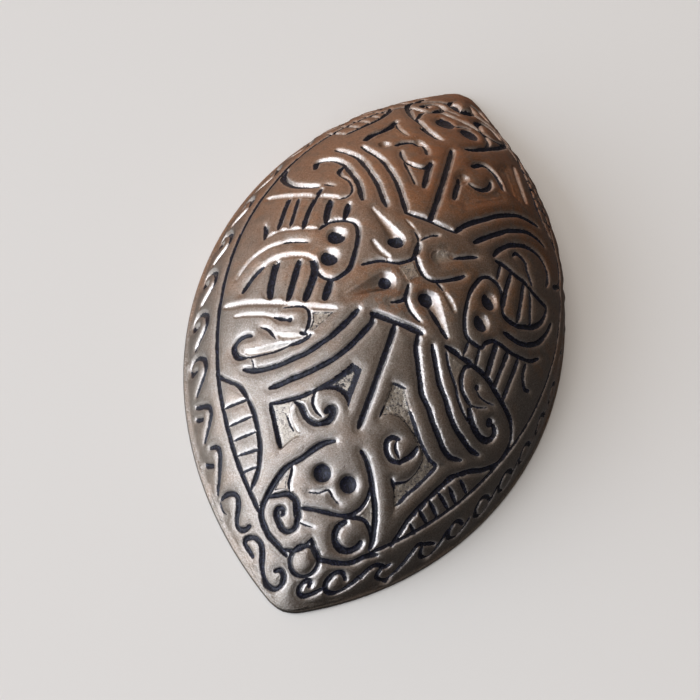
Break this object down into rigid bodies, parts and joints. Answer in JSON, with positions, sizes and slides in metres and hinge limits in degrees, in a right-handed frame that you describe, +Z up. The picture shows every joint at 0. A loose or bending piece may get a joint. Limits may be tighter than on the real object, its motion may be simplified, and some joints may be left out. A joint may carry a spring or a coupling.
{
  "type": "tortoise brooch",
  "caption": "Pointed oval hollow dome brooch with engraved animal ornament, a scroll border and a dress pin under the hollow.",
  "frame": {"origin": "middle of the rim plane that the brooch lies on", "axes": "+X across the brooch, +Y from one tip to the other, +Z up through the crown"},
  "size_m": [0.0358, 0.062, 0.0143],
  "materials": {
    "bronze": "satin cast bronze with dark patina in the grooves",
    "pin_metal": "drawn wire, satin"
  },
  "bodies": {
    "root": {"shell": "bronze", "pin": "pin_metal"}
  },
  "joints": []
}
